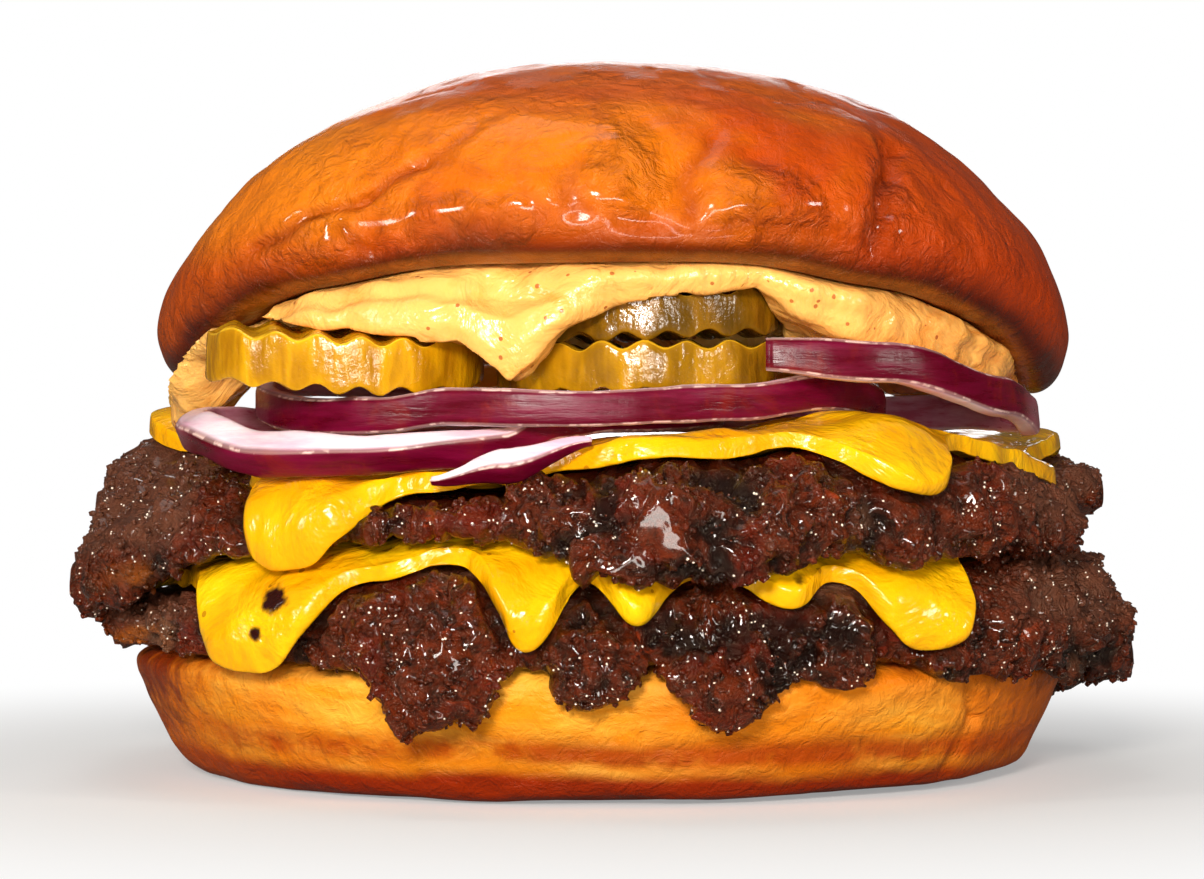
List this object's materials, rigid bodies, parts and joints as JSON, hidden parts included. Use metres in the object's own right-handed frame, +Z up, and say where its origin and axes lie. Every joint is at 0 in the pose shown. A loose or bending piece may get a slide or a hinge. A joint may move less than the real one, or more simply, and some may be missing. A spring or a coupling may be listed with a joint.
{
  "type": "double cheeseburger",
  "caption": "Tall brioche-bun cheeseburger with smashed beef patties, melted cheese, red onion, crinkle-cut pickles and burger sauce.",
  "frame": {"origin": "on the burger's axis at the flat base of the heel of the bun", "axes": "+Z up, -Y to the front that the picture shows, +X to the viewer's right"},
  "size_m": [0.1197, 0.1213, 0.0804],
  "materials": {
    "crown_crust": "egg-washed brioche crust, orange brown, glossy with fine wrinkles",
    "heel_crumb": "golden brioche side with a browned band and base",
    "seared_beef": "dark seared crust, craggy, with wet specks",
    "melted_cheese": "melted yellow cheese, smooth and glossy",
    "red_onion": "purple skin, pale translucent flesh at the cut faces",
    "pickle": "wet olive-yellow pickle with crinkle-cut faces",
    "sauce": "creamy peach burger sauce with small specks"
  },
  "bodies": {
    "root": {"bun_bottom": "heel_crumb", "patty_lower": "seared_beef", "cheese_lower": "melted_cheese", "patty_upper": "seared_beef", "cheese_upper": "melted_cheese", "onion_ring_left": "red_onion", "onion_ring_long": "red_onion", "onion_ring_right": "red_onion", "onion_strip": "red_onion", "pickle_left": "pickle", "pickle_middle": "pickle", "pickle_top": "pickle", "sauce": "sauce", "bun_top": "crown_crust"}
  },
  "joints": []
}
